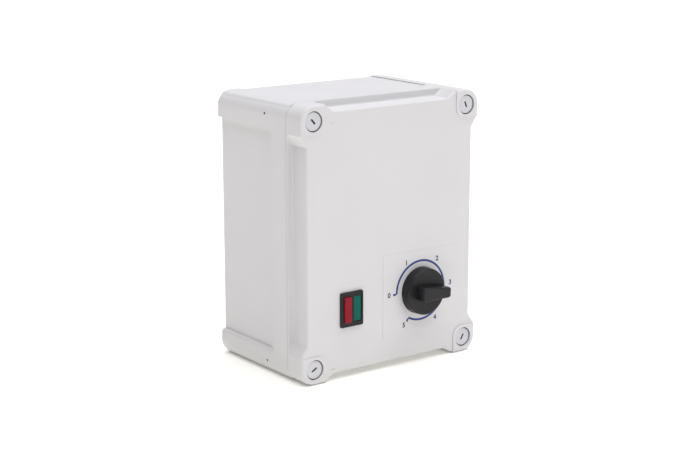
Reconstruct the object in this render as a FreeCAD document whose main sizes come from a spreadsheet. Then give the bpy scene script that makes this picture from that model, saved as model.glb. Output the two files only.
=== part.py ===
import FreeCAD, Part
import math
import os
import re
import Sketcher
from FreeCAD import Placement, Rotation, Vector

# Variable autotransformer in a wall box: a round-cornered plastic enclosure with a lid held by four
# quarter-turn screws, a start and stop button pair, and a dial that turns the brush of a toroidal coil.
#
# Everything is drawn in the lid's own frame: X to the right, Y into the box from the lid's front face,
# Z up from the lid's centre. Each finished piece is then placed in the part's frame, whose origin is
# below the middle of the whole object.

DIMENSIONS = {
    # enclosure
    "lid_width": 200, "lid_height": 250, "box_depth": 132, "corner_radius": 14,
    "lid_depth": 21.6, "base_front": 21.9, "rim_end": 44.5, "wall": 3,
    "side_recess": 4.3, "end_recess": 1, "column_size": 24, "ledge_round": 3.4,
    "flange_start": 19.7, "edge_recess": 6.5, "recess_blend": 2, "recess_run": 10,
    "recess_side": 89, "recess_end": 64,
    "boss_reach": 25.8, "boss_proud": 1, "edge_round": 1.6, "lid_round": 2,
    # gasket, cover screws and their receivers
    "gasket_mid_x": 95, "gasket_mid_z": 121, "gasket_width": 3, "gasket_depth": 2,
    "screw_x": 86, "screw_z": 111, "cap_radius": 8.4, "cap_gap": 0.8, "cap_front": 0.3, "cap_length": 6.2,
    "cap_seat": 7, "slot_length": 6.4, "slot_width": 1.9, "slot_depth": 2.2,
    "screw_shank": 3.5, "screw_hole": 3.9, "socket_radius": 6.5, "socket_end": 40,
    "receiver_front": 25, "receiver_back": 32, "crossbar_length": 11, "crossbar_width": 3,
    # holes in the back and the mounting plate
    "wall_hole_x": 62, "wall_hole_z": 109, "wall_hole_radius": 2.75, "wall_boss_radius": 6,
    "plate_x": 82, "plate_z": 96, "plate_front": 121.5, "plate_thick": 1.5,
    "post_x": 74, "post_z": 86, "post_radius": 4.5,
    "entry_y": 88, "entry_radius": 10.25, "entry_bore": 6, "entry_left": -58, "entry_right": -30,
    # dial, label and knob
    "dial_x": 33.9, "dial_z": -56.7, "label_left": -9.7, "label_right": 79,
    "label_low": -96.5, "label_high": -18.5, "label_thick": 0.3,
    "knob_radius": 22.15, "knob_proud": 21, "skirt_front": 10.2, "skirt_gap": 0.5, "pointer_angle": -3,
    "grip_left": 12, "grip_right": 19.8, "grip_left_half": 6.6, "grip_right_half": 4.8,
    "shaft_radius": 4, "shaft_clear": 0.05,
    # start and stop buttons
    "switch_x": -45.7, "switch_z": -61.45, "frame_width": 24.8, "frame_height": 32, "frame_thick": 2,
    "window_height": 24.1, "red_window": 8.2, "green_window": 8.4, "red_border": 3.1, "green_border": 2.05,
    "button_gap": 0.3, "red_proud": 3.6, "green_proud": 1.5, "button_back": 6.5,
    "switch_body_width": 21.6, "switch_body_height": 28.2, "pocket_end": 16, "pocket_floor": 19,
    "chamber_end": 32, "switch_end": 34, "stem_radius": 1.2, "stem_end": 22, "spring_radius": 2.6,
    "wire_radius": 0.35, "blade_x": 5.5, "blade_z": 9,
    # toroidal coil and its moving brush
    "core_inner": 27, "core_outer": 46, "core_front": 66, "core_back": 108, "insulation": 1,
    "coil_inner": 22, "coil_outer": 51, "coil_front": 62, "coil_back": 112,
    "spider_radius": 33, "spider_front": 57, "hub_radius": 11, "base_back": 117, "clamp_circle": 16,
    "arm_front": 49, "arm_thick": 3, "arm_half": 6, "arm_reach": 46, "brush_circle": 42,
    "brush_gap": 0.3, "stop_circle": 27, "stop_radius": 7, "stop_angle": 213,
    # terminals on their rail
    "rail_z": 55, "rail_half": 70, "rail_height": 35, "rail_depth": 7.5,
    "terminal_width": 6.2, "terminal_height": 44, "terminal_depth": 34,
}

doc = FreeCAD.newDocument("variac")
sheet = doc.addObject("Spreadsheet::Sheet", "dims")
for row, (alias, size) in enumerate(DIMENSIONS.items(), start=1):
    sheet.set("A%d" % row, alias)
    sheet.set("B%d" % row, str(size))
    sheet.setAlias("B%d" % row, alias)
doc.recompute()

nodes = []


# ---------------------------------------------------------------- helpers

def linked(formula):
    """The formula with every dimension's name pointing at the spreadsheet."""
    names = r"[a-z]+_[a-z_]+|\bwall\b|\binsulation\b"
    return re.sub(names, lambda word: "dims." + word.group(0), str(formula))


def size_of(formula):
    """The formula's value in millimetres."""
    return float(sheet.evalExpression(linked(formula)))


def bind(item, prop, formula):
    item.setExpression(prop, linked(formula))


def put(item, x, y, z):
    """Bind an object's place to formulas."""
    for prop, formula in ((".Placement.Base.x", x), (".Placement.Base.y", y), (".Placement.Base.z", z)):
        bind(item, prop, formula)


def block(name, x, y, z):
    """A box between pairs of formulas along each axis."""
    item = doc.addObject("Part::Box", name)
    for prop, (low, high) in (("Length", x), ("Width", y), ("Height", z)):
        bind(item, prop, "(%s) - (%s)" % (high, low))
    put(item, x[0], y[0], z[0])
    return item


def rod(name, radius, x, z, y):
    """A cylinder along Y, centred on x and z."""
    item = doc.addObject("Part::Cylinder", name)
    item.Placement = Placement(Vector(), Rotation(Vector(1, 0, 0), -90))
    bind(item, "Radius", radius)
    bind(item, "Height", "(%s) - (%s)" % (y[1], y[0]))
    put(item, x, y[0], z)
    return item


def cross_rod(name, radius, direction, centre, length):
    """A cylinder along any direction, from a start point."""
    item = doc.addObject("Part::Cylinder", name)
    item.Placement = Placement(Vector(), Rotation(Vector(0, 0, 1), Vector(*direction)))
    bind(item, "Radius", radius)
    bind(item, "Height", length)
    put(item, *centre)
    return item


def joined(name, items):
    item = doc.addObject("Part::MultiFuse", name)
    item.Shapes = items
    return item


def cut(name, base, tools):
    """The base with the tools taken away, which must take some of it away."""
    tool = tools[0] if len(tools) == 1 else joined(name + "_tools", tools)
    item = doc.addObject("Part::Cut", name)
    item.Base = base
    item.Tool = tool
    doc.recompute()
    if item.Shape.Volume > base.Shape.Volume - 1e-6:
        raise RuntimeError(name + ": nothing was cut")
    return item


def rounded(name, base, radius, chosen):
    """The base with the edges rounded that the test chooses."""
    doc.recompute()
    item = doc.addObject("Part::Fillet", name)
    item.Base = base
    r = size_of(radius)
    item.Edges = [(i, r, r) for i, edge in enumerate(base.Shape.Edges, start=1) if chosen(edge)]
    doc.recompute()
    if not item.Edges or item.Shape.isNull() or not item.Shape.isValid():
        raise RuntimeError("%s: %d edges, not rounded" % (name, len(item.Edges)))
    return item


def along(edge, axis):
    """Whether an edge is straight and parallel to an axis."""
    if not isinstance(edge.Curve, Part.Line):
        return False
    return abs(abs(edge.tangentAt(edge.FirstParameter).dot(axis)) - 1) < 1e-6


def along_y(edge):
    return along(edge, Vector(0, 1, 0))


def upright_at(edge, corner):
    """Whether an edge runs along Y through a corner's X and Z."""
    middle = edge.CenterOfMass
    return along_y(edge) and abs(middle.x - corner.x) < 0.1 and abs(middle.z - corner.z) < 0.1


def at_y(edge, y):
    """Whether the whole edge lies at one depth."""
    box = edge.BoundBox
    return abs(box.YMin - y) < 1e-4 and abs(box.YMax - y) < 1e-4


def outline(sketch, points):
    """A closed outline whose corners are bound to formulas for their two coordinates."""
    sizes = [Vector(size_of(u), size_of(v), 0) for u, v in points]
    count = len(points)
    for i in range(count):
        sketch.addGeometry(Part.LineSegment(sizes[i], sizes[(i + 1) % count]), False)
    for i in range(count):
        sketch.addConstraint(Sketcher.Constraint("Coincident", i, 2, (i + 1) % count, 1))
    for i, (u, v) in enumerate(points):
        for kind, axis, formula, size in (("DistanceX", -2, u, sizes[i].x), ("DistanceY", -1, v, sizes[i].y)):
            if abs(size) < 1e-9:
                sketch.addConstraint(Sketcher.Constraint("PointOnObject", i, 1, axis))
                continue
            index = sketch.addConstraint(Sketcher.Constraint(kind, -1, 1, i, 1, size))
            bind(sketch, "Constraints[%d]" % index, formula)


def prism(name, points, y):
    """An outline in X and Z, extruded along Y."""
    sketch = doc.addObject("Sketcher::SketchObject", name + "_outline")
    sketch.Placement = Placement(Vector(), Rotation(Vector(1, 0, 0), 90))
    outline(sketch, points)
    put(sketch, 0, y[0], 0)
    item = doc.addObject("Part::Extrusion", name)
    item.Base = sketch
    item.DirMode = "Custom"
    item.Dir = Vector(0, 1, 0)
    item.Solid = True
    bind(item, "LengthFwd", "(%s) - (%s)" % (y[1], y[0]))
    return item


def origin_plane(body, role):
    return next(item for item in body.Origin.OriginFeatures if item.Role == role)


def turned(name, points):
    """A body turned about Y from an outline of radius and depth."""
    body = doc.addObject("PartDesign::Body", name)
    sketch = body.newObject("Sketcher::SketchObject", name + "_profile")
    sketch.AttachmentSupport = [(origin_plane(body, "XY_Plane"), "")]
    sketch.MapMode = "FlatFace"
    outline(sketch, points)
    turn = body.newObject("PartDesign::Revolution", name + "_turn")
    turn.Profile = sketch
    turn.ReferenceAxis = (sketch, ["V_Axis"])
    turn.Angle = 360
    doc.recompute()
    return body


def ring(inner, outer, front, back):
    """The outline of a plain ring for turned()."""
    return [(inner, front), (outer, front), (outer, back), (inner, back)]


def node(name, item, x="0", z="0", y="0"):
    """Name a finished piece and place it: its own frame first, then the part's."""
    doc.recompute()
    item.Label = name
    put(item, x, "(%s) + knob_proud - (box_depth + knob_proud) / 2" % y, "(%s) + lid_height / 2" % z)
    nodes.append(item)
    return item


def solids(name, items):
    """Several separate solids that share one node."""
    doc.recompute()
    item = doc.addObject("Part::Compound", name)
    item.Links = items
    return item


def corners():
    """The signs of the four corners, with each one's short name."""
    return [("tl", -1, 1), ("tr", 1, 1), ("bl", -1, -1), ("br", 1, -1)]


# ---------------------------------------------------------------- enclosure

def rounded_frame(name, half_x, half_z, radius, y):
    """A slab with rounded corners, centred on the lid's axis."""
    slab = block(name + "_slab", ("-(%s)" % half_x, half_x), y, ("-(%s)" % half_z, half_z))
    return rounded(name, slab, radius, along_y)


def base_columns():
    """Four corner columns, flush with the rim, each with one large outer rounding.

    The upper edges of the lower two, where they stand out of the side walls, are softened too.
    """
    columns = []
    for tag, sx, sz in corners():
        far_x = "%d * lid_width / 2" % sx
        far_z = "%d * lid_height / 2" % sz
        near_x = "%s - %d * column_size" % (far_x, sx)
        near_z = "%s - %d * column_size" % (far_z, sz)
        x = (near_x, far_x) if sx > 0 else (far_x, near_x)
        z = (near_z, far_z) if sz > 0 else (far_z, near_z)
        column = block("column_block_" + tag, x, ("base_front", "box_depth"), z)
        corner = Vector(size_of(far_x), 0, size_of(far_z))
        shaped = rounded("column_" + tag, column, "corner_radius", lambda e, c=corner: upright_at(e, c))
        if sz < 0:
            ledge = Vector(size_of(far_x), 0, size_of(near_z))
            shaped = rounded("column_ledge_" + tag, shaped, "ledge_round",
                             lambda e, c=ledge: upright_at(e, c))
        columns.append(rounded("column_eased_" + tag, shaped, "edge_round",
                               lambda e: at_y(e, size_of("box_depth"))))
    return columns


def base_cutters():
    """Sockets, wall holes, post holes, cable entries and the small drill marks of the base."""
    tools = []
    for tag, sx, sz in corners():
        tools.append(rod("socket_" + tag, "socket_radius", "%d * screw_x" % sx, "%d * screw_z" % sz,
                         ("base_front - 1", "socket_end")))
        tools.append(rod("wall_hole_" + tag, "wall_hole_radius", "%d * wall_hole_x" % sx,
                         "%d * wall_hole_z" % sz, ("box_depth - 12", "box_depth + 1")))
        tools.append(rod("post_hole_" + tag, 1.6, "%d * post_x" % sx, "%d * post_z" % sz,
                         ("plate_front", "box_depth - wall - 0.5")))
        tools.append(cross_rod("drill_mark_" + tag, 1.25, (-sx, 0, 0),
                               ("%d * (lid_width / 2)" % sx, 54.5, "%d * (lid_height / 2 - 12)" % sz), 5.5))
    for tag in ("left", "right"):
        tools.append(cross_rod("entry_hole_" + tag, "entry_radius", (0, 0, 1),
                               ("entry_" + tag, "entry_y", "-(lid_height / 2)"), 12))
    return tools


def enclosure_base():
    """The deep half: recessed walls between four corner columns, behind a full-size rim."""
    half_x = "lid_width / 2 - side_recess"
    half_z = "lid_height / 2 - end_recess"
    walls = rounded_frame("base_walls", half_x, half_z, 4, ("base_front", "box_depth"))
    walls = rounded("base_walls_eased", walls, "edge_round", lambda e: at_y(e, size_of("box_depth")))
    rim = rounded_frame("base_rim", "lid_width / 2", "lid_height / 2", "corner_radius",
                        ("base_front", "rim_end"))
    shell = joined("base_shell", [walls, rim])
    inside = block("base_inside", ("-(%s - wall)" % half_x, "%s - wall" % half_x),
                   ("base_front - 1", "box_depth - wall"), ("-(%s - wall)" % half_z, "%s - wall" % half_z))
    hollow = cut("base_hollow", shell, [inside])
    additions = base_columns()
    for tag, sx, sz in corners():
        additions.append(rod("post_" + tag, "post_radius", "%d * post_x" % sx, "%d * post_z" % sz,
                             ("plate_front + plate_thick", "box_depth - 1")))
        additions.append(rod("wall_boss_" + tag, "wall_boss_radius", "%d * wall_hole_x" % sx,
                             "%d * wall_hole_z" % sz, ("box_depth - wall - 3", "box_depth - 1")))
    full = joined("base_full", [hollow] + additions)
    groove = cut("gasket_groove", rounded_frame("groove_outer", "gasket_mid_x + gasket_width / 2",
                                                "gasket_mid_z + gasket_width / 2", 11.5,
                                                ("base_front - 1", "base_front + gasket_depth")),
                 [rounded_frame("groove_inner", "gasket_mid_x - gasket_width / 2",
                                "gasket_mid_z - gasket_width / 2", 8.5,
                                ("base_front - 2", "base_front + gasket_depth + 1"))])
    node("enclosure_base", cut("base_cut", full, [groove] + base_cutters()))


def edge_recesses():
    """The four long recesses in the lid's edges, each running out in a slope at both ends."""
    tools = []
    over = 3
    for tag, s in (("left", -1), ("right", 1)):
        deep = "%d * (lid_width / 2 - edge_recess)" % s
        out = "%d * (lid_width / 2 + %d)" % (s, over)
        reach = "(recess_side + recess_run * (edge_recess + %d) / edge_recess)" % over
        tools.append(prism("recess_" + tag, [(deep, "-recess_side"), (deep, "recess_side"),
                                             (out, reach), (out, "-" + reach)], ("-3", "flange_start")))
    for tag, s in (("bottom", -1), ("top", 1)):
        deep = "%d * (lid_height / 2 - edge_recess)" % s
        out = "%d * (lid_height / 2 + %d)" % (s, over)
        reach = "(recess_end + recess_run * (edge_recess + %d) / edge_recess)" % over
        tools.append(prism("recess_" + tag, [("-recess_end", deep), ("recess_end", deep),
                                             (reach, out), ("-" + reach, out)], ("-3", "flange_start")))
    back = size_of("flange_start")
    return [rounded(tool.Name + "_blend", tool, "recess_blend", lambda e: at_y(e, back)) for tool in tools]


def at_rim(edge):
    """Whether an edge runs along the outline of the lid rather than across its face."""
    middle = edge.CenterOfMass
    inner_x, inner_z = size_of("lid_width / 2 - edge_recess"), size_of("lid_height / 2 - edge_recess")
    return abs(middle.x) > inner_x - 0.5 or abs(middle.z) > inner_z - 0.5


def boss_pads():
    """Four pads, a little proud of the lid's face, round the cover screws."""
    pads = []
    front = -size_of("boss_proud")
    for tag, sx, sz in corners():
        far_x, near_x = "%d * lid_width / 2" % sx, "%d * (lid_width / 2 - boss_reach)" % sx
        far_z, near_z = "%d * lid_height / 2" % sz, "%d * (lid_height / 2 - boss_reach)" % sz
        x = (near_x, far_x) if sx > 0 else (far_x, near_x)
        z = (near_z, far_z) if sz > 0 else (far_z, near_z)
        pad = block("pad_block_" + tag, x, ("-boss_proud", "lid_round + 1"), z)
        near, far = Vector(size_of(near_x), 0, size_of(near_z)), Vector(size_of(far_x), 0, size_of(far_z))
        inner = rounded("pad_inner_" + tag, pad, 9, lambda e, c=near: upright_at(e, c))
        outer = rounded("pad_outer_" + tag, inner, "corner_radius", lambda e, c=far: upright_at(e, c))
        pads.append(rounded("pad_" + tag, outer, "lid_round", lambda e: at_y(e, front) and at_rim(e)))
    return pads


def lid():
    """The shallow half: a face plate with bosses at its corners and recessed edges between them."""
    slab = rounded_frame("lid_slab", "lid_width / 2", "lid_height / 2", "corner_radius", ("0", "lid_depth"))
    shaped = cut("lid_shaped", slab, edge_recesses())
    plate = rounded("lid_plate", shaped, "lid_round", lambda e: at_y(e, 0) and at_rim(e))
    eased = joined("lid_raised", [plate] + boss_pads())
    inside_x, inside_z = "lid_width / 2 - edge_recess - wall", "lid_height / 2 - edge_recess - wall"
    wide = block("lid_wide", ("-(%s)" % inside_x, inside_x), ("wall", "lid_depth + 1"),
                 ("-(lid_height / 2 - boss_reach)", "lid_height / 2 - boss_reach"))
    tall = block("lid_tall", ("-(lid_width / 2 - boss_reach)", "lid_width / 2 - boss_reach"),
                 ("wall", "lid_depth + 1"), ("-(%s)" % inside_z, inside_z))
    tools = [joined("lid_inside", [wide, tall])]
    for tag, sx, sz in corners():
        x, z = "%d * screw_x" % sx, "%d * screw_z" % sz
        tools.append(rod("cap_bore_" + tag, "cap_radius + cap_gap", x, z, ("-3", "cap_seat")))
        tools.append(rod("shank_bore_" + tag, "screw_hole", x, z, ("cap_seat - 1", "lid_depth + 1")))
    window_x, window_z = "switch_body_width / 2 + 0.2", "switch_body_height / 2 + 0.2"
    tools.append(block("switch_window", ("switch_x - (%s)" % window_x, "switch_x + %s" % window_x),
                       ("-1", "wall + 1"), ("switch_z - (%s)" % window_z, "switch_z + %s" % window_z)))
    for tag, sz in (("top", 1), ("bottom", -1)):
        tools.append(block("turn_mark_" + tag, ("-screw_x + 17.5", "-screw_x + 22"), ("-1", 0.3),
                           ("%d * screw_z - %s" % (sz, "3.4"), "%d * screw_z - %s" % (sz, "2.6"))))
    hollow = cut("lid_hollow", eased, tools)
    collar = rod("seal_collar", 11, "dial_x", "dial_z", ("wall - 1", "wall + 6"))
    with_collar = joined("lid_with_collar", [hollow, collar])
    shaft_hole = rod("shaft_hole", "shaft_radius + 0.6", "dial_x", "dial_z", ("-1", "wall + 7"))
    seal_seat = rod("seal_seat", 8, "dial_x", "dial_z", ("wall + 1", "wall + 7"))
    node("lid", cut("lid_done", with_collar, [shaft_hole, seal_seat]))


def lid_gasket():
    """The rubber seal that lies in the rim's groove."""
    outer = rounded_frame("gasket_outer", "gasket_mid_x + gasket_width / 2 - 0.1",
                          "gasket_mid_z + gasket_width / 2 - 0.1", 11.4,
                          ("lid_depth", "base_front + gasket_depth"))
    inner = rounded_frame("gasket_inner", "gasket_mid_x - gasket_width / 2 + 0.1",
                          "gasket_mid_z - gasket_width / 2 + 0.1", 8.6,
                          ("lid_depth - 1", "base_front + gasket_depth + 1"))
    node("lid_gasket", cut("gasket_ring", outer, [inner]))


def shaft_seal():
    """The rubber lip seal that the dial's shaft runs through."""
    seal = turned("seal", [("shaft_radius + 0.4", "wall + 1"), (7.9, "wall + 1"), (7.9, "wall + 6"),
                           ("shaft_radius + 1.4", "wall + 6"), ("shaft_radius + 0.4", "wall + 3")])
    node("shaft_seal", seal, "dial_x", "dial_z")


def cable_grommets():
    """Two rubber bushes, buttoned into the cable entries in the bottom wall."""
    flange, lip = 0.8, 2.4
    bushes = []
    for tag in ("left", "right"):
        bush = turned("bush_" + tag, [("entry_bore", 0), (12.2, 0), (12.2, flange),
                                      ("entry_radius - 0.05", flange),
                                      ("entry_radius - 0.05", "%s + wall" % flange),
                                      (11.8, "%s + wall" % flange), (11.2, "%s + wall" % lip),
                                      ("entry_bore", "%s + wall" % lip)])
        bush.Placement = Placement(Vector(), Rotation(Vector(1, 0, 0), 90))
        put(bush, "entry_" + tag, "entry_y", "-(lid_height / 2) + end_recess - %s" % flange)
        bushes.append(bush)
    node("cable_grommets", solids("grommet_pair", bushes))


# ---------------------------------------------------------------- cover screws

# Where each slot stands, in degrees counter-clockwise from level, seen from the front.
SLOT_ANGLES = {"tl": -48, "tr": -68, "bl": 30, "br": 59}


def cover_screw(tag, sx, sz):
    """A captive quarter-turn screw: slotted cap, shank and locking crossbar."""
    cap = rod("cap_" + tag, "cap_radius", 0, 0, ("cap_front", "cap_front + cap_length"))
    doc.recompute()
    front = size_of("cap_front")
    eased = rounded("cap_eased_" + tag, cap, 0.5, lambda e: at_y(e, front))
    shank = rod("shank_" + tag, "screw_shank", 0, 0, ("cap_front + 2", "receiver_back + 3.4"))
    bar = block("bar_" + tag, ("-crossbar_length / 2", "crossbar_length / 2"),
                ("receiver_back + 0.4", "receiver_back + 3.4"), ("-crossbar_width / 2", "crossbar_width / 2"))
    whole = joined("screw_whole_" + tag, [eased, shank, bar])
    half = "(slot_length - slot_width) / 2"
    slot = joined("slot_" + tag, [
        block("slot_mid_" + tag, ("-" + half, half), ("-1", "cap_front + slot_depth"),
              ("-slot_width / 2", "slot_width / 2")),
        rod("slot_near_" + tag, "slot_width / 2", "-" + half, 0, ("-1", "cap_front + slot_depth")),
        rod("slot_far_" + tag, "slot_width / 2", half, 0, ("-1", "cap_front + slot_depth"))])
    screw = cut("screw_" + tag, whole, [slot])
    screw.Placement = Placement(Vector(), Rotation(Vector(0, -1, 0), SLOT_ANGLES[tag]))
    node("cover_screw_" + tag, screw, "%d * screw_x" % sx, "%d * screw_z" % sz)


def screw_receivers():
    """Four plates in the columns, each with a slot that its screw's crossbar passes when unlocked."""
    parts = []
    for tag, sx, sz in corners():
        disc = rod("receiver_disc_" + tag, "socket_radius - 0.05", 0, 0, ("receiver_front", "receiver_back"))
        bore = rod("receiver_bore_" + tag, "screw_hole", 0, 0, ("receiver_front - 1", "receiver_back + 1"))
        slot = block("receiver_slot_" + tag, ("-crossbar_width / 2 - 0.5", "crossbar_width / 2 + 0.5"),
                     ("receiver_front - 1", "receiver_back + 1"),
                     ("-crossbar_length / 2 - 0.3", "crossbar_length / 2 + 0.3"))
        receiver = cut("receiver_" + tag, disc, [bore, slot])
        receiver.Placement = Placement(Vector(), Rotation(Vector(0, -1, 0), SLOT_ANGLES[tag]))
        put(receiver, "%d * screw_x" % sx, 0, "%d * screw_z" % sz)
        parts.append(receiver)
    node("screw_receivers", solids("receiver_set", parts))


# ---------------------------------------------------------------- start and stop switch

def window_span(colour):
    """The left and right edge of a button's window, from the switch's centre."""
    if colour == "red":
        return "-frame_width / 2 + red_border", "-frame_width / 2 + red_border + red_window"
    return "frame_width / 2 - green_border - green_window", "frame_width / 2 - green_border"


def switch_housing():
    """The black frame on the lid with the switch body behind it."""
    plate = block("frame_plate", ("-frame_width / 2", "frame_width / 2"), ("-frame_thick", "0"),
                  ("-frame_height / 2", "frame_height / 2"))
    plate = rounded("frame_corners", plate, 1.5, along_y)
    front = -size_of("frame_thick")
    plate = rounded("frame_eased", plate, 0.5, lambda e: at_y(e, front))
    body = block("switch_block", ("-switch_body_width / 2", "switch_body_width / 2"),
                 ("-0.5", "chamber_end"), ("-switch_body_height / 2", "switch_body_height / 2"))
    tools = []
    for colour in ("red", "green"):
        low, high = window_span(colour)
        tools.append(block("window_" + colour, (low, high), ("-frame_thick - 1", "pocket_end"),
                           ("-window_height / 2", "window_height / 2")))
        tools.append(rod("stem_hole_" + colour, "stem_radius + 0.4", "(%s + (%s)) / 2" % (low, high), 0,
                         ("pocket_end - 1", "pocket_floor + 1")))
    tools.append(block("contact_chamber", ("-switch_body_width / 2 + 1.2", "switch_body_width / 2 - 1.2"),
                       ("pocket_floor", "chamber_end + 1"),
                       ("-switch_body_height / 2 + 1.2", "switch_body_height / 2 - 1.2")))
    clips = []
    for tag, s in (("left", -1), ("right", 1)):
        side = "%d * switch_body_width / 2" % s
        clips.append(block("panel_clip_" + tag, (side + " - 0.6", side + " + 0.6"),
                           ("wall + 0.1", "wall + 9"), ("-4", "4")))
    whole = joined("switch_whole", [plate, body] + clips)
    node("switch_housing", cut("switch_cut", whole, tools), "switch_x", "switch_z")


def blade_row(name, half_width, half_thick, y):
    """Six blocks in two columns of three, where the switch's blades stand."""
    blocks = []
    for col in (-1, 1):
        for row in (-1, 0, 1):
            x, z = "%d * blade_x" % col, "%d * blade_z" % row
            blocks.append(block("%s_%d_%d" % (name, col, row),
                                ("%s - %s" % (x, half_width), "%s + %s" % (x, half_width)), y,
                                ("%s - %s" % (z, half_thick), "%s + %s" % (z, half_thick))))
    return blocks


def switch_back():
    """The cover that closes the switch body, slotted for its terminals."""
    cover = block("back_cover", ("-switch_body_width / 2", "switch_body_width / 2"),
                  ("chamber_end", "switch_end"), ("-switch_body_height / 2", "switch_body_height / 2"))
    slots = blade_row("blade_slot", 2.5, 0.5, ("chamber_end - 1", "switch_end + 1"))
    node("switch_back", cut("back_slotted", cover, slots), "switch_x", "switch_z")


def switch_terminals():
    """Six flat blades that stand out behind the switch."""
    blades = blade_row("blade", 2.4, 0.4, ("chamber_end - 6", "switch_end + 8"))
    node("switch_terminals", solids("blade_set", blades), "switch_x", "switch_z")


def release_coil():
    """The no-volt coil that lets the switch drop out when the supply fails."""
    bobbin = turned("coil_bobbin", [(0, 22.5), (5.5, 22.5), (5.5, 23.3), (3.8, 23.3),
                                    (3.8, 25), (5.5, 25), (5.5, 25.8), (0, 25.8)])
    node("release_coil", bobbin, "switch_x", "switch_z - 4.5")


def push_button(colour, proud):
    """A button's cap with its stem."""
    low, high = window_span(colour)
    cap = block(colour + "_cap", (low + " + button_gap", high + " - button_gap"),
                ("-" + proud, "button_back"),
                ("-window_height / 2 + button_gap", "window_height / 2 - button_gap"))
    corner = rounded(colour + "_corners", cap, 0.6, along_y)
    front = -size_of(proud)
    eased = rounded(colour + "_eased", corner, 0.5, lambda e: at_y(e, front))
    stem = rod(colour + "_stem", "stem_radius", "(%s + (%s)) / 2" % (low, high), 0,
               ("button_back - 1", "stem_end"))
    node(colour + "_button", joined(colour + "_whole", [eased, stem]), "switch_x", "switch_z")


def coil_spring(name, radius, wire, length, turns):
    """A coil spring along Y, its turns one swept wire whose middle line starts at zero."""
    helix = Part.makeHelix(length / turns, length, radius)
    profile = Part.Wire(Part.makeCircle(wire, Vector(radius, 0, 0), Vector(0, 1, 0)))
    swept = Part.Wire(helix.Edges).makePipeShell([profile], True, True)
    item = doc.addObject("Part::Feature", name)
    item.Shape = swept
    item.Placement = Placement(Vector(), Rotation(Vector(1, 0, 0), -90))
    return item


def button_spring(colour):
    """The return spring between a button's back and its pocket's floor."""
    low, high = window_span(colour)
    middle = "(%s + (%s)) / 2" % (low, high)
    start, end = "button_back + wire_radius + 0.2", "pocket_end - wire_radius - 0.1"
    spring = coil_spring(colour + "_coil", size_of("spring_radius"), size_of("wire_radius"),
                         size_of("(%s) - (%s)" % (end, start)), 5)
    node(colour + "_spring", spring, "switch_x + " + middle, "switch_z", start)


# ---------------------------------------------------------------- dial: label, knob and shaft

def dial_label():
    """The thin printed plate round the dial."""
    film = block("label_film", ("label_left", "label_right"), ("-label_thick", "0"),
                 ("label_low", "label_high"))
    film = rounded("label_corners", film, 2, along_y)
    hole = rod("label_hole", "shaft_radius + 1", "dial_x", "dial_z", ("-1", "1"))
    node("dial_label", cut("label_cut", film, [hole]))


def dial_knob():
    """The round skirt with its raised, tapering grip, bored from behind for the shaft."""
    skirt = turned("knob_skirt", [(0, "-skirt_front"), ("knob_radius - 1.6", "-skirt_front"),
                                  ("knob_radius - 0.5", "-skirt_front + 1"),
                                  ("knob_radius", "-skirt_gap"), (0, "-skirt_gap")])
    grip = prism("grip_block", [("-grip_left", "-grip_left_half"), ("grip_right", "-grip_right_half"),
                                ("grip_right", "grip_right_half"), ("-grip_left", "grip_left_half")],
                 ("-knob_proud", "-skirt_gap - 1"))
    end = size_of("grip_right")
    blunt = rounded("grip_tail", grip, 1.5, lambda e: along_y(e) and e.CenterOfMass.x < 0)
    shaped = rounded("grip_tip", blunt, 2.6, lambda e: along_y(e) and abs(e.CenterOfMass.x - end) < 0.1)
    tip = -size_of("knob_proud")
    soft = rounded("grip_eased", shaped, 1.1, lambda e: at_y(e, tip))
    whole = joined("knob_whole", [skirt, soft])
    whole.Placement = Placement(Vector(), Rotation(Vector(0, -1, 0), DIMENSIONS["pointer_angle"]))
    bore = rod("knob_bore", "shaft_radius + shaft_clear", 0, 0, ("-16", "2"))
    screw_hole = cross_rod("knob_screw_hole", 2.05, (0, 0, -1), (0, "-4", 0), "knob_radius + 2")
    node("dial_knob", cut("knob_done", whole, [bore, screw_hole]), "dial_x", "dial_z")


def shaft():
    """The steel shaft from the knob to the rear bush, with a groove for its clip."""
    neck = "shaft_radius - 0.8"
    bar = turned("shaft_turned", [(0, "-15.5"), ("shaft_radius - 0.5", "-15.5"), ("shaft_radius", "-15"),
                                  ("shaft_radius", "base_back + 0.4"), (neck, "base_back + 0.4"),
                                  (neck, "base_back + 1.6"), ("shaft_radius", "base_back + 1.6"),
                                  ("shaft_radius", "base_back + 3"), (0, "base_back + 3")])
    node("shaft", bar, "dial_x", "dial_z")


def shaft_clip():
    """The retaining clip in the shaft's groove."""
    node("shaft_clip", turned("clip_ring", ring("shaft_radius - 0.75", "shaft_radius + 2.5",
                                                "base_back + 0.45", "base_back + 1.55")), "dial_x", "dial_z")


def grub_screws():
    """Two set screws: one holds the knob, the other the brush arm."""
    in_knob = cross_rod("knob_grub", 2, (0, 0, -1), (0, "-4", "-shaft_radius - 0.1"), 6)
    in_arm = cross_rod("arm_grub", 2, (0, 0, -1), (0, "arm_front - 3.5", "-shaft_radius - 0.1"), 5)
    node("grub_screws", solids("grub_pair", [in_knob, in_arm]), "dial_x", "dial_z")


# ---------------------------------------------------------------- toroidal coil

def coil_core():
    """The ring core of wound steel strip."""
    node("coil_core", turned("core_ring", ring("core_inner", "core_outer", "core_front", "core_back")),
         "dial_x", "dial_z")


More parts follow.
